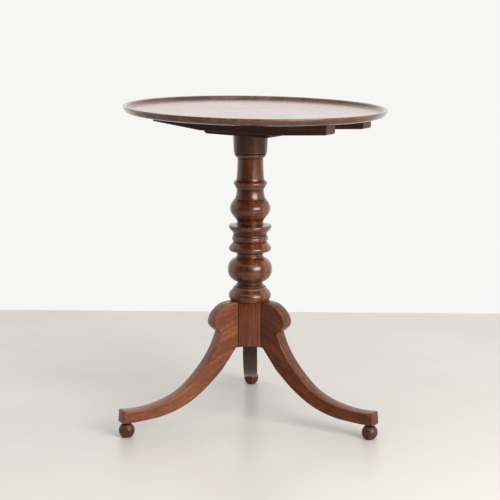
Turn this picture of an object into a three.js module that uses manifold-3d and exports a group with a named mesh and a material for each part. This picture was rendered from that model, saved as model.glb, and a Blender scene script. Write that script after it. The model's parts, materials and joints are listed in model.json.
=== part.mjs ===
// Tilt-top table: a round dished top on two battens, which turn on a block at the head of a
// ring-turned column. Three sabre legs on ball feet are dovetailed into the foot of the column.
// Millimetres, +Z up. The origin is on the floor under the middle of the table's bounding box,
// one leg points along +Y, and the catch side of the top is towards -X.
import * as THREE from "three";
import { mergeVertices } from "three/addons/utils/BufferGeometryUtils.js";
import Module from "manifold-3d";

const wasm = await Module();
wasm.setup();

// ---- Driving dimensions --------------------------------------------------------------------

const FIT_GAP = 0.3; // glue line or clearance left between two pieces that touch
const TOP_GAP = 0.5; // block to the underside of the top when it lies level

const COLUMN_TOP = 645; // shoulder that carries the block
const COLLAR_BOTTOM = 275; // turned work ends here and the hub begins
const HUB_BOTTOM = 174;
const HUB_FLAT = 33.5; // centre to the broad faces between the legs
const HUB_LEG_FACE = 37.5; // centre to the narrow faces behind the legs
const NECK_RADIUS = 28; // the column's slender parts
const TENON = { radius: 17, below: 1.5, slack: 0.7 }; // ends just below the block's upper face
const WEDGE = { below: 1.2, depth: 24, root: 0.7, head: 1.5 };
const COLUMN_SIDES = 30;

const LEG_ANGLES = { back: 90, left: 210, right: 330 }; // degrees round the column
const LEG_THICKNESS = 33;
const LEG_TAPER = 0.88; // thickness at the toe over thickness at the knee
const LEG_TIP = 318; // column centre to the end of the leg
const LEG_TIP_LEAN = 2; // the end face leans back by this much at its top
const LEG_UNDERSIDE = 33; // height of the toe's flat underside
const KNEE_REACH = 97.8; // column centre to the furthest point of the knee
const KNEE_NOTCH = new THREE.Vector2(79.5, 208.7); // where the knee meets the leg's upper edge

const DOVETAIL = { root: 7, tip: 10, depth: 12, bottom: 176, top: 258 };

const FOOT_CIRCLE = 304;
const BALL_RADIUS = 17.5;
const FOOT_FLAT = 9; // radius of the worn flat under each ball
const FOOT_NECK = 8.5;
const FOOT_SPIGOT = { radius: 5, top: 48 };

const LEAN = THREE.MathUtils.degToRad(0.73); // the old top sits a little low towards +X
const TURN = THREE.MathUtils.degToRad(-30); // direction of the battens in plan
const HEAD_LIFT = 0.8; // gap left under the leaning block

const BLOCK = { length: 162, width: 127, height: 43.5, corner: 9 };
const PIVOT_DEPTH = 15; // hinge axis below the underside of the top
const PIVOT_RADIUS = 7.85;
const PIVOT_BORE = 8;
const PIVOT_SEAT = 26; // how far each pin is glued into the block
const PIVOT_SIDES = 32;

const TOP_RADIUS = 289;
const TOP_THICKNESS = 15.5;
const TOP_SIDES = 72;
const RIM_WIDTH = 10;
const DISH_DEPTH = 8;
const TOP_OFFSET = new THREE.Vector2(9, 0); // centre of the top from the column's axis

const BATTEN = { length: 434, width: 38, corner: 5 };
const BATTEN_LOWER = [[-212, 21.5], [-93, 33.5], [93, 32], [212, 23.5]]; // [along, depth] of its lower face
const BATTEN_SHIFT = 26; // the battens' middle, towards the hinge
const BATTEN_SCREWS = [-160, 0, 212]; // along each batten

const SCREW_SIDES = 12;
const BATTEN_SCREW = { head: 4.6, shank: 2.3, tipRadius: 0.8 };
const SMALL_SCREW = { head: 3, shank: 1.4, tipRadius: 0.5 };

const CATCH = { start: 99.5, length: 46, width: 24, plate: 1.6, guide: 7, wall: 2 };
const CATCH_SCREW_INSET = { end: 5, edge: 4.2, hole: 6.5, length: 6 };
const BOLT = { width: 9, height: 4, slack: 0.6, nose: 1.2, travel: 7 };
const KNOB = [[0, 15], [2.4, 14.6], [4.6, 12.4], [5.4, 10], [4.6, 7.6], [2.6, 5.6], [2.1, 3.4], [3.2, 1.2]];
const KEEPER = { height: 15, width: 34, thickness: 1.4, lip: 8.5, lipWidth: 14, lipThickness: 1.5 };
const KEEPER_SCREW = { offset: 11.5, hole: 14, length: 12 };

const BRACE = { thickness: 2.2, width: 20, armEnd: 0.45, screwPlace: 0.25 };
const ARM_START = new THREE.Vector2(41.5, HUB_BOTTOM - 1); // leg's lower edge, where the arm lies
const ARM_END = new THREE.Vector2(77, 126);

// ---- Derived sizes, all in the head's own frame (z = 0 under the block) -----------------------

const TOP_UNDERSIDE = BLOCK.height + TOP_GAP;
const PIVOT_Z = TOP_UNDERSIDE - PIVOT_DEPTH;
const PIVOT_END = PIVOT_DEPTH - TOP_GAP; // pivot to the block's end face, so the top clears it
const PIVOT_X = BLOCK.length / 2 - PIVOT_END;
const BATTEN_Y = BLOCK.width / 2 + TOP_GAP + BATTEN.width / 2;

// ---- Materials -----------------------------------------------------------------------------

function makeMaterial(colour, roughness, metalness) {
  return new THREE.MeshStandardMaterial({ color: colour, roughness, metalness });
}

const MAHOGANY = makeMaterial(0x4a2015, 0.35, 0);
const MAHOGANY_TOP = makeMaterial(0x5a2a1c, 0.22, 0);
const RAW_WOOD = makeMaterial(0x5b3a26, 0.7, 0);
const BRASS = makeMaterial(0x9a7a3c, 0.35, 1);
const IRON = makeMaterial(0x3a3633, 0.6, 1);

// ---- Solids: geometry in, manifold solid out, and back -----------------------------------------

function toSolid(geometry) {
  const bare = geometry.index ? geometry.toNonIndexed() : geometry.clone();
  bare.deleteAttribute("normal");
  bare.deleteAttribute("uv");
  const merged = mergeVertices(bare, 1e-4);
  const mesh = new wasm.Mesh({
    numProp: 3,
    vertProperties: merged.attributes.position.array,
    triVerts: merged.index.array,
  });
  return new wasm.Manifold(mesh);
}

function toGeometry(solid) {
  const mesh = solid.getMesh();
  const geometry = new THREE.BufferGeometry();
  geometry.setAttribute("position", new THREE.BufferAttribute(mesh.vertProperties, 3));
  geometry.setIndex(new THREE.BufferAttribute(mesh.triVerts, 1));
  geometry.computeVertexNormals();
  return geometry;
}

// A solid turned about Z from a profile of [radius, height] points, lowest first.
function turned(profile, sides) {
  const points = profile.map(([r, z]) => new THREE.Vector2(r, z));
  return new THREE.LatheGeometry(points, sides).rotateX(Math.PI / 2);
}

// A [across, up] outline in the XZ plane, extruded evenly to both sides of Y = 0.
function slab(shape, width, bevel = 0) {
  const depth = width - 2 * bevel;
  const geometry = new THREE.ExtrudeGeometry(shape, {
    depth,
    curveSegments: 4,
    bevelEnabled: bevel > 0,
    bevelSize: bevel,
    bevelOffset: -bevel,
    bevelThickness: bevel,
    bevelSegments: 1,
  });
  return geometry.translate(0, 0, -depth / 2).rotateX(Math.PI / 2);
}

function box(sizeX, sizeY, sizeZ, x, y, z) {
  return new THREE.BoxGeometry(sizeX, sizeY, sizeZ).translate(x, y, z);
}

function rod(radius, length, sides) {
  return new THREE.CylinderGeometry(radius, radius, length, sides);
}

// ---- Screws --------------------------------------------------------------------------------

// A countersunk wood screw along Z, its head's face at z = 0 and its point up at z = length.
function screwProfile(size, length, gap) {
  const { head, shank, tipRadius } = size;
  return [
    [0, -gap],
    [head + gap, -gap],
    [head + gap, 0.5],
    [shank + gap, head - shank + 0.5 + gap],
    [shank + gap, length * 0.7],
    [tipRadius + gap, length + gap],
    [0, length + gap],
  ];
}

function screwBody(size, length) {
  const body = toSolid(turned(screwProfile(size, length, 0), SCREW_SIDES));
  const slot = toSolid(box(3 * size.head, 0.9, 1.6, 0, 0, 0));
  return toGeometry(body.subtract(slot));
}

function screwHole(size, length) {
  return turned(screwProfile(size, length, FIT_GAP), SCREW_SIDES);
}

// ---- Column --------------------------------------------------------------------------------

// Rings, coves and balls from the collar up to the shoulder, as one turned outline.
function columnProfile() {
  const path = new THREE.Path();
  path.moveTo(0, COLLAR_BOTTOM);
  path.lineTo(43.6, COLLAR_BOTTOM);
  path.quadraticCurveTo(47.6, 281, 47.4, 286.5); // collar, swelling out over the knees
  path.quadraticCurveTo(46.8, 291.5, 42.3, 296);
  path.quadraticCurveTo(38.6, 299, 37.4, 302);
  path.quadraticCurveTo(36.4, 305, 33.4, 305.4);
  path.lineTo(32.6, 306); // groove below the neck
  path.lineTo(33.2, 307);
  path.quadraticCurveTo(29.6, 308.5, 27.9, 312.5);
  path.lineTo(28.8, 317.6);
  path.lineTo(36, 319.2);
  path.absellipse(NECK_RADIUS, 344, 21.6, 26, -Math.PI * 0.36, Math.PI * 0.4); // flattened ball
  path.quadraticCurveTo(29.7, 371, 29.3, 375.5);
  path.lineTo(29.5, 382.2);
  path.lineTo(44.2, 385.6); // flat underside of the lower disc
  path.quadraticCurveTo(49, 389.5, 46.6, 394.5);
  path.quadraticCurveTo(42, 401, 36.5, 406.5);
  path.quadraticCurveTo(43.4, 412.5, 38.2, 419); // small bead between the discs
  path.quadraticCurveTo(35, 424, 41, 429.5);
  path.lineTo(45.4, 434.5);
  path.quadraticCurveTo(49, 439, 46.6, 443); // upper disc
  path.lineTo(29.3, 444.8);
  path.quadraticCurveTo(28.2, 452, 32, 457.2);
  path.quadraticCurveTo(37, 462, 39.6, 467);
  path.lineTo(41.6, 469);
  path.quadraticCurveTo(47.4, 479, 43.6, 488); // vase bulb
  path.quadraticCurveTo(40.4, 495, 37.2, 498.6);
  path.lineTo(34.4, 501.4);
  path.quadraticCurveTo(30.6, 509, 30, 523);
  path.quadraticCurveTo(33.6, 527, 34.5, 531.6);
  path.quadraticCurveTo(39.6, 536, 35.4, 540.5); // ring under the neck
  path.lineTo(31.4, 543);
  path.quadraticCurveTo(30.4, 547, 30.2, 553);
  path.quadraticCurveTo(28.5, 575, 28.6, 593);
  path.quadraticCurveTo(34.2, 594.4, 35.8, 601); // quarter round under the cap
  path.lineTo(35.2, 602.6);
  path.lineTo(36.8, 604.2);
  path.lineTo(38.6, COLUMN_TOP);
  path.lineTo(TENON.radius, COLUMN_TOP);
  path.lineTo(TENON.radius, COLUMN_TOP + BLOCK.height - TENON.below);
  path.lineTo(0, COLUMN_TOP + BLOCK.height - TENON.below);
  return path.getPoints(3).map((point) => [point.x, point.y]);
}

// Six-sided hub: broad faces between the legs, narrow ones behind them.
function hubShape() {
  const cornerRadius = Math.hypot(HUB_FLAT, (2 * HUB_LEG_FACE - HUB_FLAT) / Math.sqrt(3));
  const halfNarrow = Math.acos(HUB_LEG_FACE / cornerRadius);
  const corners = [];
  for (const legDegrees of Object.values(LEG_ANGLES)) {
    for (const side of [-1, 1]) {
      const angle = THREE.MathUtils.degToRad(legDegrees) + side * halfNarrow;
      const direction = new THREE.Vector2(Math.cos(angle), Math.sin(angle));
      corners.push(direction.multiplyScalar(cornerRadius));
    }
  }
  return new THREE.Shape(corners);
}

// The dovetail in plan, pointing inwards from a leg's shoulder along +X of the leg's own frame.
function dovetailShape(gap) {
  const inner = HUB_LEG_FACE - DOVETAIL.depth - gap;
  const outer = HUB_LEG_FACE + 1;
  return new THREE.Shape([
    new THREE.Vector2(inner, -DOVETAIL.tip - gap),
    new THREE.Vector2(outer, -DOVETAIL.root - gap),
    new THREE.Vector2(outer, DOVETAIL.root + gap),
    new THREE.Vector2(inner, DOVETAIL.tip + gap),
  ]);
}

function upright(shape, bottom, top) {
  const settings = { depth: top - bottom, bevelEnabled: false };
  return new THREE.ExtrudeGeometry(shape, settings).translate(0, 0, bottom);
}

// The wedge that spreads the tenon, or with a gap the slot sawn for it.
function wedgeGeometry(gap, width) {
  const top = COLUMN_TOP + BLOCK.height - WEDGE.below;
  const shape = new THREE.Shape([
    new THREE.Vector2(-WEDGE.root - gap, top - WEDGE.depth - gap),
    new THREE.Vector2(WEDGE.root + gap, top - WEDGE.depth - gap),
    new THREE.Vector2(WEDGE.head + gap, top),
    new THREE.Vector2(-WEDGE.head - gap, top),
  ]);
  return slab(shape, width);
}

function columnGeometry() {
  const turning = toSolid(turned(columnProfile(), COLUMN_SIDES));
  const hub = toSolid(upright(hubShape(), HUB_BOTTOM, COLLAR_BOTTOM + 3));
  let column = turning.add(hub);
  for (const degrees of Object.values(LEG_ANGLES)) {
    const socket = upright(dovetailShape(FIT_GAP), HUB_BOTTOM - 1, DOVETAIL.top + FIT_GAP);
    socket.rotateZ(THREE.MathUtils.degToRad(degrees));
    column = column.subtract(toSolid(socket));
  }
  column = column.subtract(toSolid(wedgeGeometry(FIT_GAP, 4 * TENON.radius)));
  column = column.subtract(toSolid(centreScrewHole()));
  return toGeometry(column);
}

// ---- Legs and feet, in the leg's own frame: +X outwards, +Z up ------------------------------

function legShape() {
  const inner = HUB_LEG_FACE + FIT_GAP;
  const top = COLLAR_BOTTOM - FIT_GAP;
  const shape = new THREE.Shape();
  shape.moveTo(inner, HUB_BOTTOM);
  shape.lineTo(ARM_START.x, ARM_START.y);
  shape.lineTo(ARM_END.x, ARM_END.y); // straight stretch that the brace is screwed to
  shape.splineThru([
    new THREE.Vector2(114, 92),
    new THREE.Vector2(151, 65.5),
    new THREE.Vector2(190, 47.5),
    new THREE.Vector2(229, 37.8),
    new THREE.Vector2(264, 34.6),
    new THREE.Vector2(290, LEG_UNDERSIDE),
  ]);
  shape.lineTo(LEG_TIP - 1, LEG_UNDERSIDE);
  shape.lineTo(LEG_TIP, LEG_UNDERSIDE + 1);
  shape.lineTo(LEG_TIP - LEG_TIP_LEAN, 59.4);
  shape.lineTo(LEG_TIP - LEG_TIP_LEAN - 1.5, 61);
  shape.splineThru([
    new THREE.Vector2(290, 59.4),
    new THREE.Vector2(262, 60.6),
    new THREE.Vector2(232, 65.4),
    new THREE.Vector2(200, 74.6),
    new THREE.Vector2(168, 91),
    new THREE.Vector2(138, 117),
    new THREE.Vector2(111, 148),
    new THREE.Vector2(91.5, 179),
    KNEE_NOTCH,
  ]);
  shape.splineThru([
    new THREE.Vector2(91, 218),
    new THREE.Vector2(96.6, 226),
    new THREE.Vector2(KNEE_REACH, 234),
    new THREE.Vector2(95.8, 242),
    new THREE.Vector2(91.5, 250),
    new THREE.Vector2(85, 258),
    new THREE.Vector2(75, 266),
    new THREE.Vector2(64, 271.6),
    new THREE.Vector2(46, top),
  ]);
  shape.lineTo(inner, top);
  shape.closePath();
  return shape;
}

// The leg thins evenly from the knee to the toe.
function taperLeg(geometry) {
  const position = geometry.attributes.position;
  for (let i = 0; i < position.count; i += 1) {
    const along = THREE.MathUtils.clamp((position.getX(i) - KNEE_REACH) / (LEG_TIP - KNEE_REACH), 0, 1);
    position.setY(i, position.getY(i) * THREE.MathUtils.lerp(1, LEG_TAPER, along));
  }
  return geometry;
}

function footSpigot(gap) {
  const { radius, top } = FOOT_SPIGOT;
  const height = top - LEG_UNDERSIDE + 2;
  const spigot = rod(radius + gap, height + gap, 16).rotateX(Math.PI / 2);
  return spigot.translate(FOOT_CIRCLE, 0, top + gap - (height + gap) / 2);
}

function legGeometry() {
  const leg = toSolid(taperLeg(slab(legShape(), LEG_THICKNESS, 1.5)));
  const dovetail = toSolid(upright(dovetailShape(0), DOVETAIL.bottom, DOVETAIL.top));
  const armHole = toSolid(armScrewHole());
  return toGeometry(leg.add(dovetail).subtract(toSolid(footSpigot(FIT_GAP))).subtract(armHole));
}

function footGeometry() {
  const centreZ = Math.sqrt(BALL_RADIUS ** 2 - FOOT_FLAT ** 2);
  const start = -Math.acos(FOOT_FLAT / BALL_RADIUS);
  const end = Math.acos(FOOT_NECK / BALL_RADIUS);
  const profile = [[0, 0]];
  for (let i = 0; i <= 9; i += 1) {
    const angle = THREE.MathUtils.lerp(start, end, i / 9);
    profile.push([BALL_RADIUS * Math.cos(angle), centreZ + BALL_RADIUS * Math.sin(angle)]);
  }
  const top = LEG_UNDERSIDE - FIT_GAP;
  profile.push([FOOT_NECK + 1.5, top - 1.6]);
  profile.push([FOOT_NECK + 1.5, top]);
  profile.push([FOOT_SPIGOT.radius, top]);
  profile.push([FOOT_SPIGOT.radius, FOOT_SPIGOT.top]);
  profile.push([0, FOOT_SPIGOT.top]);
  return turned(profile, 20).translate(FOOT_CIRCLE, 0, 0);
}

// ---- Iron brace under the hub ---------------------------------------------------------------

const ARM_SLOPE = Math.atan2(ARM_END.y - ARM_START.y, ARM_END.x - ARM_START.x);
const ARM_OUT = new THREE.Vector2(Math.sin(ARM_SLOPE), -Math.cos(ARM_SLOPE)); // away from the leg

// A point on the arm: `along` from 0 at the bend to 1 at the tip, `out` millimetres off the leg.
function armPoint(along, out) {
  return ARM_START.clone().lerp(ARM_END, along).addScaledVector(ARM_OUT, out);
}

function braceGeometry() {
  const top = HUB_BOTTOM - 1 - FIT_GAP;
  const bottom = top - BRACE.thickness;
  const arm = new THREE.Shape();
  const innerBend = armPoint(0, FIT_GAP);
  const outerBend = armPoint(0, FIT_GAP + BRACE.thickness);
  arm.moveTo(0, bottom);
  arm.lineTo(outerBend.x - 3, bottom);
  arm.lineTo(outerBend.x, outerBend.y - 1);
  arm.lineTo(...armPoint(BRACE.armEnd, FIT_GAP + BRACE.thickness));
  arm.lineTo(...armPoint(BRACE.armEnd, FIT_GAP));
  arm.lineTo(innerBend.x, innerBend.y - 0.5);
  arm.lineTo(innerBend.x - 1, top);
  arm.lineTo(0, top);
  arm.closePath();
  let brace = null;
  for (const degrees of Object.values(LEG_ANGLES)) {
    let strip = toSolid(slab(arm, BRACE.width)).subtract(toSolid(armScrewHole()));
    strip = toSolid(toGeometry(strip).rotateZ(THREE.MathUtils.degToRad(degrees)));
    brace = brace ? brace.add(strip) : strip;
  }
  return toGeometry(brace.subtract(toSolid(centreScrewHole())));
}

function placeArmScrew(geometry) {
  const foot = armPoint(BRACE.screwPlace, FIT_GAP + BRACE.thickness);
  const tilt = Math.atan2(-ARM_OUT.x, -ARM_OUT.y);
  return geometry.rotateY(tilt).translate(foot.x, 0, foot.y);
}

function armScrewHole() {
  return placeArmScrew(screwHole(SMALL_SCREW, 16));
}

function placeCentreScrew(geometry) {
  return geometry.translate(0, 0, HUB_BOTTOM - 1 - FIT_GAP - BRACE.thickness);
}

function centreScrewHole() {
  return placeCentreScrew(screwHole(SMALL_SCREW, 18));
}

// ---- Head: block, pins, battens and top, in the head's own frame -------------------------------
// +X runs along the battens to the hinge, +Y is the hinge axis, z = 0 is the block's underside.

function blockShape() {
  const half = BLOCK.length / 2;
  const shape = new THREE.Shape();
  shape.moveTo(-half + BLOCK.corner, 0);
  shape.lineTo(half - 3, 0);
  shape.lineTo(half, 3);
  shape.lineTo(half, PIVOT_Z);
  shape.absarc(PIVOT_X, PIVOT_Z, PIVOT_END, 0, Math.PI / 2); // the top rolls round this corner
  shape.lineTo(-half + 1, BLOCK.height);
  shape.lineTo(-half, BLOCK.height - 1);
  shape.lineTo(-half, BLOCK.corner);
  shape.absarc(-half + BLOCK.corner, BLOCK.corner, BLOCK.corner, Math.PI, Math.PI * 1.5);
  return shape;
}

// The keeper's upright plate, let into the block's end face, or with a gap its recess.
function keeperUpright(gap) {
  const { thickness, width, height } = KEEPER;
  const x = -BLOCK.length / 2 + thickness / 2;
  const z = BLOCK.height - height / 2;
  return box(thickness + 2 * gap, width + 2 * gap, height + 2 * gap, x, 0, z);
}

// The lip that the bolt slides under.
function keeperLip() {
  const length = KEEPER.lip + KEEPER.thickness;
  const x = -BLOCK.length / 2 - KEEPER.lip + length / 2;
  const z = BLOCK.height - KEEPER.lipThickness / 2;
  return box(length, KEEPER.lipWidth, KEEPER.lipThickness, x, 0, z);
}

function placeKeeperScrew(geometry, side) {
  const z = BLOCK.height - KEEPER.height / 2;
  const turnedOver = geometry.rotateY(Math.PI / 2);
  return turnedOver.translate(-BLOCK.length / 2, side * KEEPER_SCREW.offset, z);
}

function keeperScrewHole(side) {
  return placeKeeperScrew(screwHole(SMALL_SCREW, KEEPER_SCREW.hole), side);
}

function blockGeometry() {
  let block = toSolid(slab(blockShape(), BLOCK.width));
  const mortise = rod(TENON.radius + TENON.slack, 3 * BLOCK.height, COLUMN_SIDES);
  block = block.subtract(toSolid(mortise.rotateX(Math.PI / 2)));
  for (const side of [-1, 1]) {
    const seat = rod(PIVOT_BORE, 2 * PIVOT_SEAT + 2 * FIT_GAP, PIVOT_SIDES);
    seat.translate(PIVOT_X, (side * BLOCK.width) / 2, PIVOT_Z);
    block = block.subtract(toSolid(seat));
    block = block.subtract(toSolid(keeperScrewHole(side)));
  }
  return toGeometry(block.subtract(toSolid(keeperUpright(FIT_GAP))));
}

function keeperPlate() {
  let plate = toSolid(keeperUpright(0)).add(toSolid(keeperLip()));
  for (const side of [-1, 1]) {
    plate = plate.subtract(toSolid(keeperScrewHole(side)));
  }
  return toGeometry(plate);
}

function pivotPin(side) {
  const inner = BLOCK.width / 2 - PIVOT_SEAT;
  const outer = BATTEN_Y + BATTEN.width / 2;
  const pin = rod(PIVOT_RADIUS, outer - inner, PIVOT_SIDES);
  return pin.translate(PIVOT_X, (side * (inner + outer)) / 2, PIVOT_Z);
}

function battenShape() {
  const top = TOP_UNDERSIDE - FIT_GAP;
  const end = BATTEN.length / 2;
  const lower = BATTEN_LOWER.map(([along, depth]) => [along, top - depth]);
  const [[startX, startZ]] = lower;
  const endZ = lower[lower.length - 1][1];
  const shape = new THREE.Shape();
  shape.moveTo(-end, top);
  shape.lineTo(-end, startZ + BATTEN.corner);
  shape.quadraticCurveTo(-end, startZ, startX, startZ);
  for (const [x, z] of lower.slice(1)) {
    shape.lineTo(x, z);
  }
  shape.quadraticCurveTo(end, endZ, end, endZ + BATTEN.corner);
  shape.lineTo(end, top);
  shape.closePath();
  return shape;
}

// Height of a batten's lower face, which rises towards both ends.
function battenLow(x) {
  const place = x - BATTEN_SHIFT;
  const after = BATTEN_LOWER.findIndex(([along]) => along >= place);
  const [startX, startDepth] = BATTEN_LOWER[after - 1];
  const [endX, endDepth] = BATTEN_LOWER[after];
  const depth = THREE.MathUtils.mapLinear(place, startX, endX, startDepth, endDepth);
  return TOP_UNDERSIDE - FIT_GAP - depth;
}

function battenScrewLength(x) {
  return TOP_UNDERSIDE + 5.5 - battenLow(x) - 1;
}

function placeBattenScrew(geometry, x, side) {
  return geometry.translate(x, side * BATTEN_Y, battenLow(x) + 1);
}

function battenGeometry(side) {
  const body = slab(battenShape(), BATTEN.width, 1);
  body.translate(BATTEN_SHIFT, side * BATTEN_Y, 0);
  let batten = toSolid(body);
  const bore = rod(PIVOT_BORE, 2 * BATTEN.width, PIVOT_SIDES);
  batten = batten.subtract(toSolid(bore.translate(PIVOT_X, side * BATTEN_Y, PIVOT_Z)));
  for (const x of BATTEN_SCREWS) {
    const hole = placeBattenScrew(screwHole(BATTEN_SCREW, battenScrewLength(x)), x, side);
    const mouth = rod(BATTEN_SCREW.head + FIT_GAP, 4, SCREW_SIDES).rotateX(Math.PI / 2);
    mouth.translate(x, side * BATTEN_Y, battenLow(x) - 1);
    batten = batten.subtract(toSolid(hole)).subtract(toSolid(mouth));
  }
  return toGeometry(batten);
}

// The top's centre in the head's own frame.
function topCentre() {
  return TOP_OFFSET.clone().rotateAround(new THREE.Vector2(), -TURN);
}

function topProfile() {
  const field = TOP_UNDERSIDE + TOP_THICKNESS - DISH_DEPTH;
  const crown = TOP_UNDERSIDE + TOP_THICKNESS;
  const path = new THREE.Path();
  path.moveTo(0, TOP_UNDERSIDE);
  path.lineTo(TOP_RADIUS - 12, TOP_UNDERSIDE);
  path.quadraticCurveTo(TOP_RADIUS - 4, TOP_UNDERSIDE + 1, TOP_RADIUS - 2.5, TOP_UNDERSIDE + 6);
  path.quadraticCurveTo(TOP_RADIUS, TOP_UNDERSIDE + 10, TOP_RADIUS, TOP_UNDERSIDE + 13);
  path.quadraticCurveTo(TOP_RADIUS, crown, TOP_RADIUS - 3, crown);
  path.quadraticCurveTo(TOP_RADIUS - RIM_WIDTH + 1, crown, TOP_RADIUS - RIM_WIDTH, crown - 4);
  path.quadraticCurveTo(TOP_RADIUS - RIM_WIDTH - 1.5, field, TOP_RADIUS - RIM_WIDTH - 6, field);
  path.lineTo(0, field);
  return path.getPoints(3).map((point) => [point.x, point.y]);
}

function topGeometry() {
  const centre = topCentre();
  let top = toSolid(turned(topProfile(), TOP_SIDES).translate(centre.x, centre.y, 0));
  for (const side of [-1, 1]) {
    for (const x of BATTEN_SCREWS) {
      const hole = placeBattenScrew(screwHole(BATTEN_SCREW, battenScrewLength(x)), x, side);
      top = top.subtract(toSolid(hole));
    }
  }
  for (const [x, y] of catchScrewPlaces()) {
    top = top.subtract(toSolid(catchScrewHole(x, y)));
  }
  return toGeometry(top);
}

// ---- Thumb bolt that locks the top level ------------------------------------------------------

function catchCentreX() {
  return -CATCH.start - CATCH.length / 2;
}

function boltZ() {
  return TOP_UNDERSIDE - FIT_GAP - CATCH.plate - BOLT.slack - BOLT.height / 2;
}

function catchScrewPlaces() {
  const x = catchCentreX();
  const offset = CATCH.length / 2 - CATCH_SCREW_INSET.end;
  const y = CATCH.width / 2 - CATCH_SCREW_INSET.edge;
  return [
    [x - offset, y],
    [x + offset, y],
    [x - offset, -y],
    [x + offset, -y],
  ];
}

function placeCatchScrew(geometry, x, y) {
  return geometry.translate(x, y, TOP_UNDERSIDE - FIT_GAP - CATCH.plate);
}

function catchScrewHole(x, y) {
  return placeCatchScrew(screwHole(SMALL_SCREW, CATCH_SCREW_INSET.hole), x, y);
}

// Back plate with two bridges that the bolt slides through.
function catchPlate() {
  const plateZ = TOP_UNDERSIDE - FIT_GAP - CATCH.plate / 2;
  const x = catchCentreX();
  let plate = toSolid(box(CATCH.length, CATCH.width, CATCH.plate, x, 0, plateZ));
  const channelHeight = BOLT.height + 2 * BOLT.slack;
  const channelWidth = BOLT.width + 2 * BOLT.slack;
  const drop = CATCH.plate + channelHeight + CATCH.wall;
  const bridgeWidth = channelWidth + 2 * CATCH.wall;
  for (const side of [-1, 1]) {
    const bridgeX = x + side * (CATCH.length / 2 - CATCH.guide / 2 - 0.5);
    const bridgeZ = TOP_UNDERSIDE - FIT_GAP - drop / 2;
    plate = plate.add(toSolid(box(CATCH.guide, bridgeWidth, drop, bridgeX, 0, bridgeZ)));
  }
  const channel = box(2 * CATCH.length, channelWidth, channelHeight, x, 0, boltZ());
  plate = plate.subtract(toSolid(channel));
  for (const [screwX, screwY] of catchScrewPlaces()) {
    plate = plate.subtract(toSolid(catchScrewHole(screwX, screwY)));
  }
  return toGeometry(plate);
}

// The bolt, drawn back clear of the keeper's lip, with a turned knob under it.
function boltGeometry() {
  const nose = -BLOCK.length / 2 - KEEPER.lip - BOLT.nose;
  const tail = -CATCH.start - CATCH.length + 2;
  const bar = box(nose - tail, BOLT.width, BOLT.height, (nose + tail) / 2, 0, boltZ());
  const low = boltZ() - BOLT.height / 2;
  const neckRadius = KNOB.at(-1)[0];
  const profile = KNOB.map(([radius, drop]) => [radius, low - drop]);
  profile.push([neckRadius, low + 1], [0, low + 1]);
  const knob = turned(profile, 16).translate(catchCentreX() - BOLT.travel / 2, 0, 0);
  return toGeometry(toSolid(bar).add(toSolid(knob)));
}

// ---- Assembly --------------------------------------------------------------------------------

function addMesh(group, name, geometry, material) {
  const mesh = new THREE.Mesh(geometry, material);
  mesh.name = name;
  group.add(mesh);
}

function buildBase() {
  const base = new THREE.Group();
  addMesh(base, "column", columnGeometry(), MAHOGANY);
  addMesh(base, "tenon_wedge", wedgeGeometry(0, 2 * TENON.radius - 2), RAW_WOOD);
  addMesh(base, "leg_brace", braceGeometry(), IRON);
  const centreScrew = placeCentreScrew(screwBody(SMALL_SCREW, 18));
  addMesh(base, "brace_screw_centre", centreScrew, IRON);
  for (const [place, degrees] of Object.entries(LEG_ANGLES)) {
    const leg = new THREE.Group();
    leg.rotation.z = THREE.MathUtils.degToRad(degrees);
    addMesh(leg, `leg_${place}`, legGeometry(), MAHOGANY);
    addMesh(leg, `ball_foot_${place}`, footGeometry(), MAHOGANY);
    addMesh(leg, `brace_screw_${place}`, placeArmScrew(screwBody(SMALL_SCREW, 16)), IRON);
    base.add(leg);
  }
  return base;
}

function buildHead() {
  const head = new THREE.Group();
  addMesh(head, "tilt_block", blockGeometry(), RAW_WOOD);
  addMesh(head, "keeper_plate", keeperPlate(), BRASS);
  for (const [name, side] of [["near", -1], ["far", 1]]) {
    addMesh(head, `pivot_pin_${name}`, pivotPin(side), RAW_WOOD);
    addMesh(head, `batten_${name}`, battenGeometry(side), MAHOGANY);
    const keeperScrew = placeKeeperScrew(screwBody(SMALL_SCREW, KEEPER_SCREW.length), side);
    addMesh(head, `keeper_screw_${name}`, keeperScrew, BRASS);
    BATTEN_SCREWS.forEach((x, index) => {
      const body = placeBattenScrew(screwBody(BATTEN_SCREW, battenScrewLength(x)), x, side);
      addMesh(head, `batten_screw_${name}_${index + 1}`, body, IRON);
    });
  }
  addMesh(head, "top_board", topGeometry(), MAHOGANY_TOP);
  addMesh(head, "catch_plate", catchPlate(), BRASS);
  addMesh(head, "catch_bolt", boltGeometry(), BRASS);
  catchScrewPlaces().forEach(([x, y], index) => {
    const body = placeCatchScrew(screwBody(SMALL_SCREW, CATCH_SCREW_INSET.length), x, y);
    addMesh(head, `catch_screw_${index + 1}`, body, BRASS);
  });
  head.rotation.z = TURN;
  const leaning = new THREE.Group();
  leaning.rotation.y = LEAN;
  leaning.position.z = COLUMN_TOP + HEAD_LIFT;
  leaning.add(head);
  return leaning;
}

const table = new THREE.Group();
table.add(buildBase(), buildHead());

// Put the origin on the floor under the middle of the bounding box.
const bounds = new THREE.Box3().setFromObject(table, true);
const middle = bounds.getCenter(new THREE.Vector3());
table.position.set(-middle.x, -middle.y, -bounds.min.z);

export default table;
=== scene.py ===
"""Looks of the tilt-top table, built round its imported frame. Metres, +Z up.

The turned and shaped wood is built again with fine curves and worn arrises, and stands for the
plain solids. Battens, block, pins, screws and brass keep their own solids and get materials.
"""
import json
import math

import bmesh
import bpy
from mathutils import Matrix, Vector, geometry, noise


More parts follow.
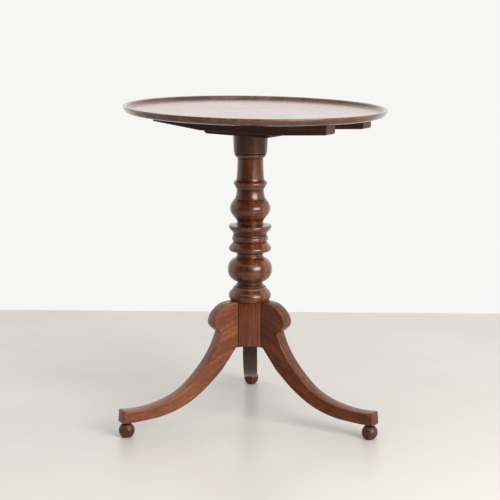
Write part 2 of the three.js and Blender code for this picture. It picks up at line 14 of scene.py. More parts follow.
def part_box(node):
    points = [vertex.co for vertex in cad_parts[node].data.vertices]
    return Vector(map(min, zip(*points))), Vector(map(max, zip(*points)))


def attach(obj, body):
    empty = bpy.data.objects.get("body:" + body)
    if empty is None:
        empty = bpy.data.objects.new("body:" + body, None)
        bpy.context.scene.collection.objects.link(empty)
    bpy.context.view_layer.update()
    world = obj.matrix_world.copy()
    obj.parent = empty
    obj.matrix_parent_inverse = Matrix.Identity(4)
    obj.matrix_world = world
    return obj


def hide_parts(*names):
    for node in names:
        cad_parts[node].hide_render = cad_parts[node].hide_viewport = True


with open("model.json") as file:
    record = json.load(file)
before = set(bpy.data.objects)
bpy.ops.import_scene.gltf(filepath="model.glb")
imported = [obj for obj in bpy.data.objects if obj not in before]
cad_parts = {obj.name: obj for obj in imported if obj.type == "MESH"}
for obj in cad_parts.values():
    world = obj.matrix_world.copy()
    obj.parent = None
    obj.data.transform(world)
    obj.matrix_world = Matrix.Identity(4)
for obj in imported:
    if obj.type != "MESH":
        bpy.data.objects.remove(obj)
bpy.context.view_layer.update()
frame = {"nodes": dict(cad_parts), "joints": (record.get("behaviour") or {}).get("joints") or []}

MM = 0.001
FIT_GAP = 0.3  # between faces that meet, in millimetres
SMOOTH_BELOW = math.radians(50)  # edges flatter than this are shaded smooth
PLACES = {"back": 90, "left": 210, "right": 330}  # legs, degrees round the column


def column_axis():
    """The column's axis is midway between the three ball feet."""
    total = Vector((0, 0, 0))
    for place in PLACES:
        low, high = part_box(f"ball_foot_{place}")
        total += (low + high) / 2
    return Vector((total.x / 3, total.y / 3, 0))


AXIS = column_axis()
TILT = next(joint for joint in frame["joints"] if joint["name"] == "top_tilt")
SLIDE = next(joint for joint in frame["joints"] if joint["name"] == "catch_slide")
SIDEWAYS = Vector(TILT["axis"]).normalized()  # the hinge's axis
AHEAD = Vector(SLIDE["axis"]).normalized()  # along the battens, from the catch to the hinge
UPWARD = AHEAD.cross(SIDEWAYS)
HEAD = Matrix((AHEAD, SIDEWAYS, UPWARD)).transposed()


# ---- Stage: camera, floor, light ---------------------------------------------------------------

CAMERA_DISTANCE = 3.478
CAMERA_HEIGHT = 1.0102
CAMERA_ORBIT = 0.0152
CAMERA_PITCH = 0.1775
CAMERA_ROLL = 0.0046
CAMERA_LENS = 114.6
WALL_LINE = 1.12  # from the column back to where the floor meets the wall
WALL_WHITE = (0.93, 0.925, 0.91)
ROOM_IN_FRONT = (0.082, 0.070, 0.060)
WALL_GLOW = (1.10, 1.08, 1.05)
FLOOR_SIZE = 6.0
DAYLIGHT = (1.0, 0.965, 0.92)
AIM_HEIGHT = 0.38  # the lights point at the column at this height


def add_camera():
    data = bpy.data.cameras.new("camera")
    data.lens = CAMERA_LENS
    data.sensor_width = 36
    data.clip_end = 50
    camera = bpy.data.objects.new("camera", data)
    bpy.context.scene.collection.objects.link(camera)
    orbit = Matrix.Rotation(CAMERA_ORBIT, 4, "Z")
    pitch = Matrix.Rotation(math.pi / 2 - CAMERA_PITCH, 4, "X")
    roll = Matrix.Rotation(CAMERA_ROLL, 4, "Z")
    place = Matrix.Translation(AXIS) @ orbit @ Matrix.Translation((0, -CAMERA_DISTANCE, CAMERA_HEIGHT))
    camera.matrix_world = place @ pitch @ roll
    bpy.context.scene.camera = camera


class Graph:
    """A short way to write a node tree: sockets and plain values are both given to inputs."""

    def __init__(self, tree):
        self.tree = tree
        self.tree.nodes.clear()

    def node(self, kind, inputs=None, **settings):
        made = self.tree.nodes.new("ShaderNode" + kind)
        for key, value in settings.items():
            setattr(made, key, value)
        for key, value in (inputs or {}).items():
            self.feed(made.inputs[key], value)
        return made

    def feed(self, socket, value):
        if isinstance(value, bpy.types.NodeSocket):
            self.tree.links.new(value, socket)
        elif isinstance(value, tuple) and len(value) == 3 and socket.type == "RGBA":
            socket.default_value = (*value, 1)
        else:
            socket.default_value = value

    def math(self, operation, a, b):
        return self.node("Math", {0: a, 1: b}, operation=operation).outputs[0]

    def ramp(self, factor, low, high, start=0.0, end=1.0):
        """Maps low..high to start..end, clamped."""
        values = {"Value": factor, "From Min": low, "From Max": high, "To Min": start, "To Max": end}
        return self.node("MapRange", values).outputs["Result"]

    def mix(self, factor, a, b, blend="MIX"):
        made = self.node("Mix", data_type="RGBA", blend_type=blend)
        self.feed(made.inputs["Factor"], factor)
        self.feed(made.inputs["A"], a)
        self.feed(made.inputs["B"], b)
        return made.outputs["Result"]

    def noise(self, vector, scale=1.0, detail=2.0, roughness=0.5, distortion=0.0):
        values = {"Vector": vector, "Scale": scale, "Detail": detail}
        values.update({"Roughness": roughness, "Distortion": distortion})
        return self.node("TexNoise", values).outputs["Fac"]

    def multiplied(self, colour, by):
        return self.mix(1.0, colour, by, "MULTIPLY")

    def attribute(self, name):
        return self.node("Attribute", attribute_name=name).outputs["Fac"]

    def stretched(self, vector, factors):
        return self.node("VectorMath", {0: vector, 1: factors}, operation="MULTIPLY").outputs[0]


def link_object(name, mesh):
    made = bpy.data.objects.new(name, mesh)
    bpy.context.scene.collection.objects.link(made)
    return made


def add_floor():
    """A plain pale floor up to the wall line. It fades out far away and is clear from below."""
    size = FLOOR_SIZE
    corners = [(-size, -size, 0), (size, -size, 0), (size, WALL_LINE, 0), (-size, WALL_LINE, 0)]
    mesh = bpy.data.meshes.new("floor")
    mesh.from_pydata(corners, [], [(0, 1, 2, 3)])
    floor = link_object("floor", mesh)
    floor.location = AXIS
    material = bpy.data.materials.new("floor")
    material.use_nodes = True
    graph = Graph(material.node_tree)
    place = graph.node("TexCoord").outputs["Object"]
    cloudy = graph.noise(place, 1.4, 3)
    colour = graph.mix(cloudy, (0.515, 0.492, 0.472), (0.560, 0.540, 0.522))
    rough = graph.ramp(graph.noise(place, 5.0, 4), 0.3, 0.7, 0.32, 0.45)
    surface = graph.node("BsdfPrincipled", {"Base Color": colour, "Roughness": rough})
    clear = graph.node("BsdfTransparent")
    distance = graph.node("VectorMath", {0: place}, operation="LENGTH").outputs["Value"]
    below = graph.node("NewGeometry").outputs["Backfacing"]
    away = graph.math("MAXIMUM", graph.ramp(distance, 3.0, 5.5), below)
    joined = graph.node("MixShader", {0: away, 1: surface.outputs[0], 2: clear.outputs[0]})
    graph.node("OutputMaterial", {"Surface": joined.outputs[0]})
    mesh.materials.append(material)


def add_world():
    """White walls behind and beside the table, a dimmer room in front of it."""
    world = bpy.data.worlds.new("room")
    world.use_nodes = True
    bpy.context.scene.world = world
    graph = Graph(world.node_tree)
    direction = graph.node("TexCoord").outputs["Generated"]
    axes = graph.node("SeparateXYZ", {0: direction}).outputs
    behind = graph.ramp(axes["Y"], -0.5, -0.05)
    room = graph.mix(behind, ROOM_IN_FRONT, WALL_GLOW)
    upward = graph.ramp(axes["Z"], 0.45, 0.8)
    lit = graph.mix(upward, room, WALL_GLOW)
    seen = graph.node("LightPath").outputs["Is Camera Ray"]
    colour = graph.mix(seen, lit, WALL_WHITE)
    background = graph.node("Background", {"Color": colour, "Strength": 1.0})
    graph.node("OutputWorld", {"Surface": background.outputs[0]})


def add_window(name, azimuth, elevation, distance, width, height, radiance):
    """An area light seen from the table at that azimuth, degrees from the camera to the right."""
    data = bpy.data.lights.new(name, "AREA")
    data.shape = "RECTANGLE"
    data.size = width
    data.size_y = height
    data.energy = radiance * width * height * math.pi
    data.color = DAYLIGHT
    light = bpy.data.objects.new(name, data)
    bpy.context.scene.collection.objects.link(light)
    a = math.radians(azimuth)
    e = math.radians(elevation)
    towards = Vector((math.sin(a) * math.cos(e), -math.cos(a) * math.cos(e), math.sin(e)))
    light.location = AXIS + Vector((0, 0, AIM_HEIGHT)) + towards * distance
    light.rotation_euler = towards.to_track_quat("Z", "Y").to_euler()


# ---- Outlines -----------------------------------------------------------------------------------


class Outline:
    """A line of [across, up] points in millimetres, drawn from lines and curves."""

    def __init__(self, x, y, step=1.5):
        self.points = [Vector((x, y))]
        self.step = step

    def line(self, x, y):
        self.points.append(Vector((x, y)))
        return self

    def curve(self, place, length):
        """Adds the points of place(0..1), which runs for that length."""
        count = max(2, math.ceil(length / self.step))
        for i in range(1, count + 1):
            self.points.append(place(i / count))
        return self

    def quad(self, cx, cy, x, y):
        start, control, end = self.points[-1], Vector((cx, cy)), Vector((x, y))
        length = (control - start).length + (end - control).length
        return self.curve(
            lambda t: start * (1 - t) ** 2 + control * (2 * t * (1 - t)) + end * t ** 2, length
        )

    def arc(self, cx, cy, rx, ry, start, end):
        """An elliptical arc between two angles in half turns, joined on by a straight line."""
        def place(t):
            angle = math.pi * (start + (end - start) * t)
            return Vector((cx + rx * math.cos(angle), cy + ry * math.sin(angle)))
        self.points.append(place(0))
        return self.curve(place, math.pi * abs(end - start) * (rx + ry) / 2)

    def spline(self, *through):
        """A smooth curve from the last point through the given ones."""
        knots = [self.points[-1]] + [Vector(point) for point in through]
        for i in range(len(knots) - 1):
            before = knots[max(i - 1, 0)]
            a, b = knots[i], knots[i + 1]
            after = knots[min(i + 2, len(knots) - 1)]
            leave, arrive = (b - before) / 2, (after - a) / 2
            cubic = 2 * a - 2 * b + leave + arrive
            square = -3 * a + 3 * b - 2 * leave - arrive
            self.curve(
                lambda t: cubic * t ** 3 + square * t ** 2 + leave * t + a, (b - a).length
            )
        return self


def softened(points, radius):
    """The same open line with its corners worn round."""
    least_turn = 0.35
    made = []
    for i, point in enumerate(points):
        if i in (0, len(points) - 1):
            made.append(point)
            continue
        into, out = point - points[i - 1], points[i + 1] - point
        if into.length < 1e-6 or out.length < 1e-6 or abs(into.angle_signed(out)) < least_turn:
            made.append(point)
            continue
        cut = min(radius, 0.45 * into.length, 0.45 * out.length)
        start, end = point - into.normalized() * cut, point + out.normalized() * cut
        for t in (0, 0.33, 0.67, 1):
            made.append(start * (1 - t) ** 2 + point * (2 * t * (1 - t)) + end * t ** 2)
    return made


def evenly(points, step):
    """Points at about every step along the line, keeping every original point."""
    made = [points[0]]
    for a, b in zip(points, points[1:]):
        count = max(1, round((b - a).length / step))
        for i in range(1, count + 1):
            made.append(a.lerp(b, i / count))
    return made


def reliefs(points, reach):
    """How far each point of a line stands out of (+) or back from (-) the line round it."""
    along = [0.0]
    for a, b in zip(points, points[1:]):
        along.append(along[-1] + (b - a).length)
    made = []
    for i, point in enumerate(points):
        near = [q for q, s in zip(points, along) if abs(s - along[i]) <= reach]
        centre = sum(near, Vector((0, 0))) / len(near)
        ahead = points[min(i + 1, len(points) - 1)] - points[max(i - 1, 0)]
        outward = Vector((ahead.y, -ahead.x))
        offset = (point - centre).dot(outward.normalized()) if outward.length else 0.0
        made.append(max(-1.0, min(1.0, 4 * offset / reach)))
    return made


# ---- Meshes -------------------------------------------------------------------------------------


def finish_mesh(mesh, relief=None):
    """Smooth shading with sharp edges, and how worn each point is, or how dark it is with dirt and painted
    shade.
    """
    made = bmesh.new()
    made.from_mesh(mesh)
    bmesh.ops.recalc_face_normals(made, faces=made.faces)
    made.to_mesh(mesh)
    made.free()
    mesh.shade_smooth()
    mesh.set_sharp_from_angle(angle=SMOOTH_BELOW)
    if relief is not None:
        add_values(mesh, "relief", relief)
    return mesh


def add_values(mesh, name, values):
    mesh.attributes.new(name, "FLOAT", "POINT").data.foreach_set("value", values)


def lathe(name, points, sides, reach=5.0, wander=0.0):
    """A solid turned about Z from a line that starts and ends on the axis, in millimetres."""
    worn = reliefs(points, reach)
    verts, relief, rings = [], [], []
    for point, value in zip(points, worn):
        if point.x < 1e-6:
            rings.append([len(verts)])
            verts.append((0, 0, point.y * MM))
            relief.append(value)
            continue
        ring = []
        for k in range(sides):
            angle = 2 * math.pi * k / sides
            ring.append(len(verts))
            around = Vector((math.cos(angle), math.sin(angle), point.y / 45))
            radius = point.x - wander * (0.5 + 0.5 * noise.noise(around * 1.7))
            verts.append((radius * math.cos(angle) * MM, radius * math.sin(angle) * MM, point.y * MM))
            relief.append(value)
        rings.append(ring)
    faces = []
    for low, high in zip(rings, rings[1:]):
        for k in range(sides):
            after = (k + 1) % sides
            under = [low[k % len(low)], low[after % len(low)]]
            over = [high[after % len(high)], high[k % len(high)]]
            face = list(dict.fromkeys(under + over))
            if len(face) > 2:
                faces.append(face)
    mesh = bpy.data.meshes.new(name)
    mesh.from_pydata(verts, [], faces)
    return finish_mesh(mesh, relief)


def inset(outline, distance):
    """A closed outline moved inwards (it runs anticlockwise)."""
    made = []
    count = len(outline)
    for i, point in enumerate(outline):
        into = (point - outline[i - 1]).normalized()
        out = (outline[(i + 1) % count] - point).normalized()
        left_in, left_out = Vector((-into.y, into.x)), Vector((-out.y, out.x))
        middle = left_in + left_out
        if middle.length < 0.2:
            middle = left_in
        middle.normalize()
        reach = distance / max(0.6, middle.dot(left_in))
        made.append(point + middle * reach)
    return made


def rounded_slab(name, outline, half_width, radius, slope_change):
    """A slab in the XZ plane, even to both sides of Y = 0, with worn arrises. Millimetres.

    half_width(x) gives half the thickness at x, and slope_change is the x at which its slope changes.
    """
    verts, faces, relief = [], [], []
    steps = 3
    rings = []
    for side in (-1, 1):
        for j in range(steps + 1):
            turn = math.pi / 2 * j / steps
            ring_points = inset(outline, radius * (1 - math.cos(turn)))
            depth = radius * (1 - math.sin(turn))
            ring = []
            for point in ring_points:
                ring.append(len(verts))
                y = side * (half_width(point.x) - depth)
                verts.append((point.x * MM, y * MM, point.y * MM))
                relief.append(0.25 + 0.75 * math.sin(2 * turn))
            rings.append(ring)
        if side == -1:
            rings.reverse()
    count = len(outline)
    for low, high in zip(rings, rings[1:]):
        for k in range(count):
            after = (k + 1) % count
            faces.append((low[k], low[after], high[after], high[k]))
    for side, ring in ((-1, rings[0]), (1, rings[-1])):
        edge = inset(outline, radius)
        inner = inset(outline, radius + 4.0)
        points = list(edge)
        kinds = [ring[k] for k in range(count)]
        loop = [(k, (k + 1) % count) for k in range(count)]
        for point in inner[::3]:
            points.append(point)
            kinds.append(None)
        heights = [point.y for point in edge]
        points.append(Vector((slope_change, min(heights) - 9)))
        points.append(Vector((slope_change, max(heights) + 9)))
        kinds.extend([None, None])
        loop.append((len(points) - 2, len(points) - 1))
        region = [list(range(count))]
        flat, _, tris, origins, _, _ = geometry.delaunay_2d_cdt(points, loop, region, 1, 1e-5)
        lookup = []
        for point, origin in zip(flat, origins):
            known = next((kinds[o] for o in origin if kinds[o] is not None), None)
            if known is None:
                known = len(verts)
                verts.append((point.x * MM, side * half_width(point.x) * MM, point.y * MM))
                relief.append(0.0)
            lookup.append(known)
        for tri in tris:
            faces.append([lookup[i] for i in tri])
    used = sorted({i for face in faces for i in face})
    renumber = {old: new for new, old in enumerate(used)}
    mesh = bpy.data.meshes.new(name)
    mesh.from_pydata([verts[i] for i in used], [], [[renumber[i] for i in face] for face in faces])
    return finish_mesh(mesh, [relief[i] for i in used])


def prism(name, corners, low, high):
    """An upright prism over [x, y] corners, in millimetres."""
    count = len(corners)
    verts = [(x * MM, y * MM, z * MM) for z in (low, high) for x, y in corners]
    faces = [tuple(range(count)), tuple(range(count, 2 * count))]
    faces += [(k, (k + 1) % count, count + (k + 1) % count, count + k) for k in range(count)]
    mesh = bpy.data.meshes.new(name)
    mesh.from_pydata(verts, [], faces)
    return finish_mesh(mesh)


def cut(target, cutter):
    """Cuts target's mesh with cutter's, and removes cutter."""
    modifier = target.modifiers.new("cut", "BOOLEAN")
    modifier.operation = "DIFFERENCE"
    modifier.solver = "EXACT"
    modifier.object = cutter
    apply_modifiers(target)
    bpy.data.objects.remove(cutter)


def apply_modifiers(target):
    graph = bpy.context.evaluated_depsgraph_get()
    mesh = bpy.data.meshes.new_from_object(target.evaluated_get(graph))
    target.modifiers.clear()
    target.data = mesh


def bevel(target, width):
    modifier = target.modifiers.new("bevel", "BEVEL")
    modifier.width = width
    modifier.segments = 3
    modifier.limit_method = "ANGLE"
    modifier.angle_limit = math.radians(40)
    apply_modifiers(target)


# ---- Materials ----------------------------------------------------------------------------------

# dark, middle and light tone of each kind of wood
MAHOGANY_TONES = ((0.055, 0.0115, 0.0035), (0.150, 0.0380, 0.0115), (0.265, 0.0850, 0.0300))
DARK_TONES = ((0.022, 0.0075, 0.0035), (0.055, 0.0190, 0.0085), (0.095, 0.0360, 0.0170))
FOOT_TONES = ((0.035, 0.0105, 0.0050), (0.105, 0.0340, 0.0160), (0.190, 0.0720, 0.0360))
TOP_TONES = ((0.045, 0.0160, 0.0090), (0.098, 0.0370, 0.0205), (0.160, 0.0680, 0.0390))
PLAIN_TONES = ((0.050, 0.0170, 0.0085), (0.110, 0.0400, 0.0200), (0.160, 0.0650, 0.0340))

PORE_COLOUR = (0.012, 0.004, 0.003)
PATINA_COLOUR = (0.030, 0.0100, 0.0060)
# Colour of dirt and painted shade in hollows and creases
GRIME_AND_SHADE_COLOUR = (0.020, 0.0075, 0.0040)
WORN_COLOUR = (0.24, 0.095, 0.050)
FADED_COLOUR = (0.37, 0.145, 0.072)


def scaled(tones, factor):
    return tuple(tuple(channel * factor for channel in tone) for tone in tones)


def mahogany(
    name, grain="Z", turn=Matrix.Identity(3), relief=False, tones=MAHOGANY_TONES,
    gloss=0.3, coat=0.5, coat_rough=0.2, bump=0.18,
    contrast=1.0, dirt_and_shade=1.0, fleck=0.4, faded=None, toned=None,
):
    """Polished mahogany. The grain runs along one axis of the piece, after it is turned by turn.

    relief says that the mesh has the attribute that tells hollows from edges. contrast is how
    strongly the figure shows, dirt_and_shade how dark the hollows are, with dirt and painted shade,
    and fleck how strong the flecks are.
    faded names the attribute that says where the wood has faded paler, and toned the one that
    darkens or brightens it.
    """
    dark, middle, light = tones
    material = bpy.data.materials.new(name)
    material.use_nodes = True
    graph = Graph(material.node_tree)
    place = graph.node("TexCoord").outputs["Object"]
    place = graph.node("Mapping", {"Vector": place, "Rotation": turn.to_euler()}).outputs[0]

    def along(across, length):
        return tuple(length if axis == grain else across for axis in "XYZ")

    figure = graph.noise(graph.stretched(place, along(42, 2.2)), 1, 4, 0.6, 0.8)
    streaks = graph.noise(graph.stretched(place, along(300, 9)), 1, 3, 0.6)
    pores = graph.noise(graph.stretched(place, along(1500, 55)), 1, 2, 0.5)
    patina = graph.noise(place, 11, 3, 0.55)
    mottle = graph.noise(graph.stretched(place, along(95, 26)), 1, 3, 0.6, 0.4)
    colour = graph.mix(graph.ramp(figure, 0.32, 0.55, 1 - contrast), dark, middle)
    colour = graph.mix(graph.ramp(figure, 0.52, 0.72, 0.0, contrast), colour, light)
    streak_tone = graph.mix(graph.ramp(streaks, 0.3, 0.7), (0.70, 0.66, 0.62), (1.18, 1.12, 1.08))
    colour = graph.multiplied(colour, streak_tone)
    mottle_tone = graph.mix(graph.ramp(mottle, 0.3, 0.7), (0.80, 0.76, 0.72), (1.16, 1.20, 1.20))
    colour = graph.multiplied(colour, mottle_tone)
    flecks = graph.noise(graph.stretched(place, along(310, 95)), 1, 2, 0.55, 0.3)
    light_fleck, dark_fleck = 1 + 0.35 * fleck, 1 - 0.42 * fleck
    fleck_tone = graph.mix(graph.ramp(flecks, 0.34, 0.66), (dark_fleck,) * 3, (light_fleck,) * 3)
    colour = graph.multiplied(colour, fleck_tone)
    pore_mask = graph.ramp(pores, 0.57, 0.66)
    colour = graph.mix(graph.math("MULTIPLY", pore_mask, 0.55), colour, PORE_COLOUR)
    colour = graph.mix(graph.ramp(patina, 0.35, 0.75, 0.0, 0.55), colour, PATINA_COLOUR)
    coating = coat
    if toned:
        tone = graph.attribute(toned)
        colour = graph.node("VectorMath", {0: colour, "Scale": tone}, operation="SCALE").outputs[0]
        coating = graph.ramp(tone, 0.45, 0.9, 0.7 * coat, coat)
    if faded:
        pale = graph.mix(0.38, colour, FADED_COLOUR)
        colour = graph.mix(graph.attribute(faded), colour, pale)
    rough = graph.ramp(patina, 0.3, 0.75, gloss * 0.8, gloss * 1.35)
    if relief:
        value = graph.attribute("relief")
        # Dirt and painted shade: the hollows and creases are darkened, and their coat thinned.
        grime_and_shade = graph.ramp(value, 0.0, -0.45, 0.0, 0.93 * dirt_and_shade)
        coating = graph.math("MULTIPLY", coating, graph.ramp(grime_and_shade, 0.0, 1.0, 1.0, 0.2))
        wear = graph.math("MULTIPLY", graph.ramp(value, 0.15, 0.9), graph.ramp(mottle, 0.35, 0.65))
        colour = graph.mix(grime_and_shade, colour, GRIME_AND_SHADE_COLOUR)
        colour = graph.mix(graph.math("MULTIPLY", wear, 0.55), colour, WORN_COLOUR)
    else:
        colour = edge_wear(graph, colour, light, 0.0022)
    height = graph.math("SUBTRACT", graph.math("MULTIPLY", streaks, 0.35), pore_mask)
    normal = graph.node("Bump", {"Height": height, "Strength": bump, "Distance": 0.0002}).outputs[0]
    shader = graph.node("BsdfPrincipled", {"Base Color": colour, "Roughness": rough, "Normal": normal})
    shader.inputs["Specular IOR Level"].default_value = 0.12
    graph.feed(shader.inputs["Coat Weight"], coating)
    shader.inputs["Coat Roughness"].default_value = coat_rough
    graph.node("OutputMaterial", {"Surface": shader.outputs[0]})
    return material


def edge_wear(graph, colour, worn, radius):
    """Mixes in a worn colour along the sharp edges."""
    round_normal = graph.node("Bevel", {"Radius": radius}, samples=6).outputs[0]
    true_normal = graph.node("NewGeometry").outputs["Normal"]
    both = {0: round_normal, 1: true_normal}
    agree = graph.node("VectorMath", both, operation="DOT_PRODUCT").outputs["Value"]
    edge = graph.ramp(agree, 0.985, 0.80, 0.0, 0.6)
    return graph.mix(edge, colour, worn)


def metal(name, clean, dull, roughness, patches, metallic=1.0):
    """Aged metal: clean metal with duller, rougher patches and worn edges."""
    material = bpy.data.materials.new(name)
    material.use_nodes = True
    graph = Graph(material.node_tree)
    place = graph.node("TexCoord").outputs["Object"]
    cloud = graph.noise(place, patches, 5, 0.65)
    speck = graph.noise(place, patches * 9, 3, 0.6)
    colour = graph.mix(graph.ramp(cloud, 0.4, 0.65), clean, dull)
    colour = graph.mix(graph.ramp(speck, 0.58, 0.75, 0.0, 0.6), colour, tuple(c * 0.4 for c in dull))
    colour = edge_wear(graph, colour, tuple(min(1, c * 1.4) for c in clean), 0.0008)
    rough = graph.ramp(cloud, 0.3, 0.7, roughness * 0.75, roughness * 1.4)
    bump = graph.node("Bump", {"Height": speck, "Strength": 0.25, "Distance": 0.0001}).outputs[0]
    shader = graph.node("BsdfPrincipled", {"Base Color": colour, "Roughness": rough, "Normal": bump})
    shader.inputs["Metallic"].default_value = metallic
    graph.node("OutputMaterial", {"Surface": shader.outputs[0]})
    return material


def dress(obj, material):
    obj.data.materials.clear()
    obj.data.materials.append(material)


# ---- Column -------------------------------------------------------------------------------------

# Sizes in millimetres. Heights are from the floor.
HUB = {"bottom": 174, "top": 275, "flat": 33.5, "leg_face": 37.5}
TENON = {"radius": 17, "top": 687}
SHOULDER = 645
DOVETAIL = {"root": 7.3, "tip": 10.3, "depth": 12.3, "top": 258.3}
WEDGE_SLOT = {"width": 1.8, "length": 80}
COLUMN_SHADE_TONE = (  # (metres up, tone): painted shade darkening the cap under the top, and painted light brightening the collar
    (0.275, 1.08), (0.320, 1.0), (0.590, 0.92), (0.600, 0.75), (0.604, 0.46),
)


def column_outline():
    turned = Outline(0, HUB["top"])
    turned.line(43.6, HUB["top"]).quad(47.6, 281, 47.4, 286.5).quad(46.8, 291.5, 42.3, 296)
    turned.quad(38.6, 299, 37.4, 302).quad(36.4, 305, 33.4, 305.4).line(32.6, 306).line(33.2, 307)
    turned.quad(29.6, 308.5, 27.9, 312.5).line(28.8, 317.6).line(36, 319.2)
    turned.arc(28, 344, 21.6, 26, -0.36, 0.4)
    turned.quad(29.7, 371, 29.3, 375.5).line(29.5, 382.2).line(44.2, 385.6)
    turned.quad(49, 389.5, 46.6, 394.5).quad(42, 401, 36.5, 406.5)
    turned.quad(43.4, 412.5, 38.2, 419).quad(35, 424, 41, 429.5).line(45.4, 434.5)
    turned.quad(49, 439, 46.6, 443).line(29.3, 444.8)
    turned.quad(28.2, 452, 32, 457.2).quad(37, 462, 39.6, 467).line(41.6, 469)
    turned.quad(47.4, 479, 43.6, 488).quad(40.4, 495, 37.2, 498.6).line(34.4, 501.4)
    turned.quad(30.6, 509, 30, 523).quad(33.6, 527, 34.5, 531.6)
    turned.quad(39.6, 536, 35.4, 540.5).line(31.4, 543).quad(30.4, 547, 30.2, 553)
    turned.quad(28.5, 575, 28.6, 593).quad(34.2, 594.4, 35.8, 601)
    turned.line(34.5, 602.0).line(34.5, 603.4).line(37.0, 604.6).line(38.6, SHOULDER)
    turned.line(TENON["radius"], SHOULDER).line(TENON["radius"], TENON["top"]).line(0, TENON["top"])
    return evenly(softened(turned.points, 0.7), 1.5)


def hub_corners():
    """Six corners: broad faces between the legs, narrow ones behind them."""
    corner = math.hypot(HUB["flat"], (2 * HUB["leg_face"] - HUB["flat"]) / math.sqrt(3))
    half_narrow = math.acos(HUB["leg_face"] / corner)
    made = []
    for degrees in PLACES.values():
        for side in (-1, 1):
            angle = math.radians(degrees) + side * half_narrow
            made.append((corner * math.cos(angle), corner * math.sin(angle)))
    return made


def tone_at(known, place):
    """The tone at a place in metres, from a table of (place, tone)."""
    for (low, a), (high, b) in zip(known, known[1:]):
        if place <= high:
            return a + (b - a) * max(0.0, place - low) / (high - low)
    return known[-1][1]


def build_column():
    column = link_object("column_turned", lathe("column_turned", column_outline(), 96, 3.6, 0.12))
    x, y = WEDGE_SLOT["width"] / 2, WEDGE_SLOT["length"] / 2
    wedge_low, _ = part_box("tenon_wedge")
    slot = prism("wedge_slot", [(-x, -y), (x, -y), (x, y), (-x, y)], wedge_low.z / MM, TENON["top"] + 5)
    cutter = link_object("wedge_slot", slot)
    cutter.rotation_euler = (0, 0, math.pi / 2)
    bpy.context.view_layer.update()
    cut(column, cutter)
    hub = link_object("column_hub", prism("column_hub", hub_corners(), HUB["bottom"], HUB["top"]))
    inner, outer = HUB["leg_face"] - DOVETAIL["depth"], HUB["leg_face"] + 5
    root, tip = DOVETAIL["root"], DOVETAIL["tip"]
    mouth = [(inner, -tip), (outer, -root), (outer, root), (inner, tip)]
    for place, degrees in PLACES.items():
        shape = prism("socket", mouth, HUB["bottom"] - 5, DOVETAIL["top"])
        socket = link_object(f"socket_{place}", shape)
        socket.rotation_euler = (0, 0, math.radians(degrees))
        bpy.context.view_layer.update()
        cut(hub, socket)
    bevel(hub, 0.9 * MM)
    # Painted light and shade: the column's colour is brightened at the collar and darkened on the cap
    # under the top.
    tones = [tone_at(COLUMN_SHADE_TONE, vertex.co.z) for vertex in column.data.vertices]
    add_values(column.data, "tone", tones)
    for piece in (column, hub):
        piece.location = AXIS
        piece.data.shade_smooth()
        piece.data.set_sharp_from_angle(angle=SMOOTH_BELOW)
        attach(piece, "base")
        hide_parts("column")
    dress(column, mahogany("mahogany_turned", relief=True, coat=0.8, toned="tone"))
    dress(hub, mahogany("mahogany_hub", coat=0.55, coat_rough=0.22, contrast=0.4))


# ---- Legs and feet ------------------------------------------------------------------------------

LEG = {"tip": 318, "lean": 2, "under": 33, "thickness": 33, "taper": 0.88}
KNEE_REACH = 97.8
GRAIN_SLOPE = math.atan2(86, 213)  # the fall and run of a leg's grain
FOOT = {"circle": 304, "ball": 17.5, "flat": 9, "neck": 8.5, "spigot": 5, "top": 48}
LEG_LOOKS = {  # tones and coat. The tones are painted light: the left leg is lighter where the window lights it, and the right leg darker and the back one darker still, as painted shade
    "back": (scaled(DARK_TONES, 0.65), 0.25),
    "left": (scaled(MAHOGANY_TONES, 1.2), 0.42),
    "right": (scaled(MAHOGANY_TONES, 0.85), 0.28),
}
EVEN_TONE = ((0, 1.0), (1, 1.0))
LEFT_LEG_TONE = (  # (metres out, tone), paler below the knee
    (0.06, 1.0), (0.11, 1.05), (0.17, 1.22), (0.23, 1.22), (0.32, 1.1),
)


def leg_outline():
    under, tip, back = LEG["under"], LEG["tip"], LEG["tip"] - LEG["lean"]
    inner, top = HUB["leg_face"] + FIT_GAP, HUB["top"] - FIT_GAP
    leg = Outline(inner, HUB["bottom"], 3.0)
    leg.line(41.5, 173).line(77, 126)
    leg.spline((114, 92), (151, 65.5), (190, 47.5), (229, 37.8), (264, 34.6), (290, under))
    leg.line(tip - 1, under).line(tip, under + 1).line(back, 59.4).line(back - 1.5, 61)
    leg.spline(
        (290, 59.4), (262, 60.6), (232, 65.4), (200, 74.6), (168, 91),
        (138, 117), (111, 148), (91.5, 179), (79.5, 208.7),
    )
    leg.spline(
        (91, 218), (96.6, 226), (KNEE_REACH, 234), (95.8, 242), (91.5, 250),
        (85, 258), (75, 266), (64, 271.6), (46, top),
    )
    leg.line(inner, top)
    return evenly(leg.points + [leg.points[0]], 3.0)[:-1]


def leg_half_width(x):
    along = max(0.0, min(1.0, (x - KNEE_REACH) / (LEG["tip"] - KNEE_REACH)))
    return LEG["thickness"] / 2 * (1 + (LEG["taper"] - 1) * along)


def foot_outline():
    centre = math.sqrt(FOOT["ball"] ** 2 - FOOT["flat"] ** 2)
    start = -math.acos(FOOT["flat"] / FOOT["ball"]) / math.pi
    end = math.acos(FOOT["neck"] / FOOT["ball"]) / math.pi
    foot = Outline(0, 0)
    foot.arc(0, centre, FOOT["ball"], FOOT["ball"], start, end)
    under = LEG["under"] - FIT_GAP
    foot.line(FOOT["neck"] + 1.5, under - 1.6).line(FOOT["neck"] + 1.5, under)
    foot.line(FOOT["spigot"], under).line(FOOT["spigot"], FOOT["top"]).line(0, FOOT["top"])
    return evenly(softened(foot.points, 0.5), 1.5)


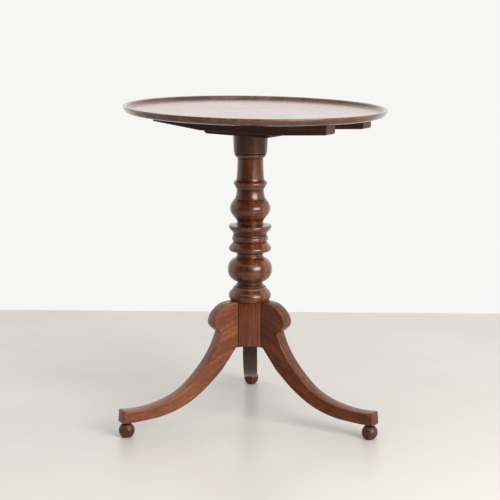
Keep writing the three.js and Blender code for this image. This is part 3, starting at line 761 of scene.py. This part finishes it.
def build_legs():
    for place, degrees in PLACES.items():
        angle = math.radians(degrees)
        turn = Matrix.Rotation(-GRAIN_SLOPE, 3, "Y") @ Matrix.Rotation(-angle, 3, "Z")
        mesh = rounded_slab(f"leg_{place}_shaped", leg_outline(), leg_half_width, 2.0, KNEE_REACH)
        tone = LEFT_LEG_TONE if place == "left" else EVEN_TONE
        add_values(mesh, "tone", [tone_at(tone, vertex.co.x) for vertex in mesh.vertices])
        foot_mesh = lathe(f"ball_foot_{place}_turned", foot_outline(), 48, 4.0)
        foot_mesh.transform(Matrix.Translation((FOOT["circle"] * MM, 0, 0)))
        stand = Matrix.Translation(AXIS) @ Matrix.Rotation(angle, 4, "Z")
        mesh.transform(stand)
        foot_mesh.transform(stand)
        leg = link_object(f"leg_{place}_shaped", mesh)
        foot = link_object(f"ball_foot_{place}_turned", foot_mesh)
        for piece, node in ((leg, f"leg_{place}"), (foot, f"ball_foot_{place}")):
            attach(piece, "base")
            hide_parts(node)
        # Painted light and shade: each leg's tones are scaled lighter or darker by how the light falls on
        # it.
        tones, coat = LEG_LOOKS[place]
        dress(leg, mahogany(
            f"mahogany_leg_{place}", "X", turn, relief=True, tones=tones, coat=coat,
            contrast=0.5, fleck=0.6, toned="tone",
        ))
        dress(foot, mahogany(
            f"mahogany_foot_{place}", relief=True, tones=FOOT_TONES, coat=0.32, coat_rough=0.36, fleck=0.9,
        ))


# ---- Top ----------------------------------------------------------------------------------------

TOP = {"radius": 289, "thickness": 15.5, "dish": 8, "rim": 10}


def top_outline():
    """Underside at 0, field and crown above it."""
    radius, crown = TOP["radius"], TOP["thickness"]
    field = crown - TOP["dish"]
    top = Outline(0, 0, 1.0)
    top.line(radius - 12, 0).quad(radius - 4, 1, radius - 2.5, 6)
    top.quad(radius, 10, radius, 13).quad(radius, crown, radius - 3, crown)
    top.quad(radius - TOP["rim"] + 1, crown, radius - TOP["rim"], crown - 4)
    top.quad(radius - TOP["rim"] - 1.5, field, radius - TOP["rim"] - 6, field).line(0, field)
    return evenly(top.points, 12)


def build_top():
    low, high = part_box("top_board")
    centre = (low + high) / 2
    mesh = lathe("top_board_turned", top_outline(), 256, 5.0)
    reach = (TOP["radius"] - TOP["rim"] - 4) * MM
    in_field = [vertex.co.z > 0 and vertex.co.xy.length < reach for vertex in mesh.vertices]
    add_values(mesh, "field", [float(inside) for inside in in_field])
    mesh.transform(Matrix.Translation((0, 0, -TOP["thickness"] / 2 * MM)))
    mesh.transform(Matrix.Translation(centre) @ HEAD.to_4x4())
    top = link_object("top_board_turned", mesh)
    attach(top, "top")
    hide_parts("top_board")
    dress(top, mahogany(
        "mahogany_top", "Y", HEAD.inverted(), relief=True, tones=TOP_TONES, coat=1.0,
        bump=0.01, dirt_and_shade=0.12, fleck=0.3, faded="field",
    ))


# ---- Pieces that keep their own solids ----------------------------------------------------------


def dress_nodes():
    along = HEAD.inverted()
    batten = mahogany(
        "mahogany_batten", "X", along, tones=DARK_TONES, gloss=0.4, coat=0.35, coat_rough=0.3,
    )
    block = mahogany("block_wood", "X", along, tones=PLAIN_TONES, gloss=0.5, coat=0.1)
    pin = mahogany("pin_wood", "Y", along, tones=DARK_TONES, gloss=0.5, coat=0.1)
    brass = metal("aged_brass", (0.50, 0.34, 0.13), (0.16, 0.10, 0.045), 0.34, 90)
    iron = metal("dark_iron", (0.060, 0.053, 0.047), (0.045, 0.024, 0.015), 0.55, 70, 0.85)
    for name, node in frame["nodes"].items():
        if name.startswith(("batten_screw", "brace_screw", "leg_brace")):
            dress(node, iron)
        elif name.startswith("batten"):
            dress(node, batten)
        elif name.startswith(("catch", "keeper")):
            dress(node, brass)
        elif name.startswith("pivot"):
            dress(node, pin)
        elif name in ("tilt_block", "tenon_wedge"):
            dress(node, block)


bpy.context.scene.view_settings.view_transform = "Standard"
add_camera()
add_world()
add_floor()
add_window("window", 40, 19, distance=3.2, width=2.0, height=1.3, radiance=14.5)
add_window("skylight", 25, 52, distance=3.4, width=2.6, height=1.6, radiance=1.5)
build_column()
build_legs()
build_top()
dress_nodes()
